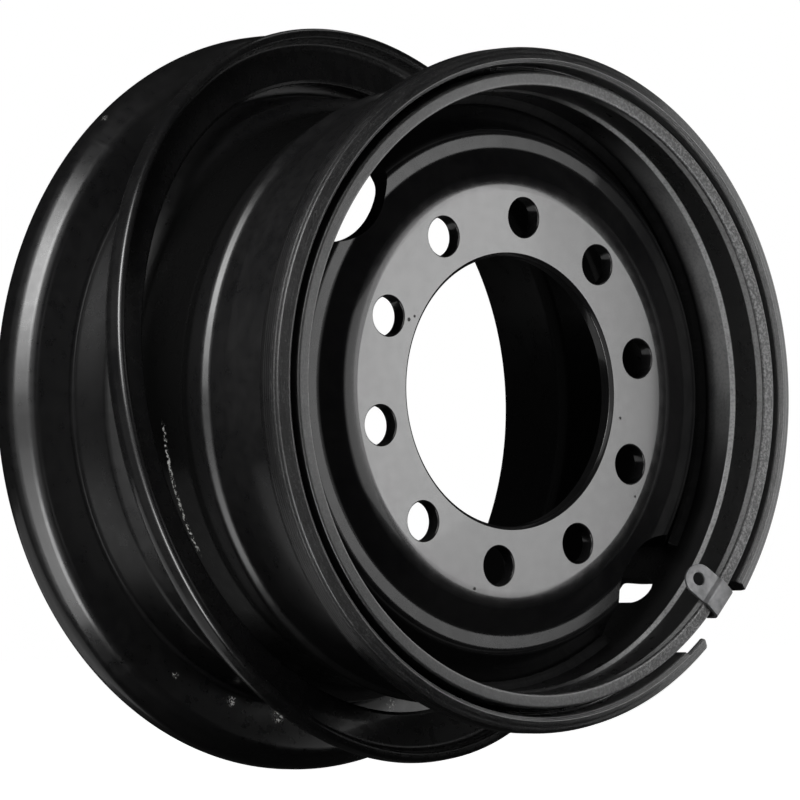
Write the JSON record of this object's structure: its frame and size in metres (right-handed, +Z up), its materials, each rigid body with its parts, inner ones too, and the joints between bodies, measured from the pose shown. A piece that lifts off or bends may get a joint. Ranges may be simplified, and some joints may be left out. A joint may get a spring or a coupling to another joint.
{
  "type": "truck wheel",
  "caption": "Steel disc truck wheel on a multi-piece rim with a split lock ring seated in its gutter and a loose side ring hanging cocked on the drum.",
  "frame": {"origin": "centre of the stud circle on the disc's outboard mounting face", "axes": "+Y along the wheel axis towards the vehicle, -Y outboard, +Z up"},
  "size_m": [0.6228, 0.3349, 0.6225],
  "materials": {
    "black_paint": "gloss black paint on rolled steel",
    "disc_paint": "gloss black paint, smooth flat mounting face",
    "weld_paint": "black paint over rippled weld beads",
    "ring_paint": "gloss black paint, chipped to bare metal on its inner edge",
    "lock_ring_paint": "satin black paint over a grainy rolled surface",
    "clip_steel": "dull grey zinc"
  },
  "bodies": {
    "root": {"rim_base": "black_paint", "wheel_disc": "disc_paint", "disc_welds_front": "weld_paint", "disc_welds_rear": "weld_paint", "side_ring": "ring_paint", "lock_ring": "lock_ring_paint", "valve_clip": "clip_steel"}
  },
  "joints": []
}
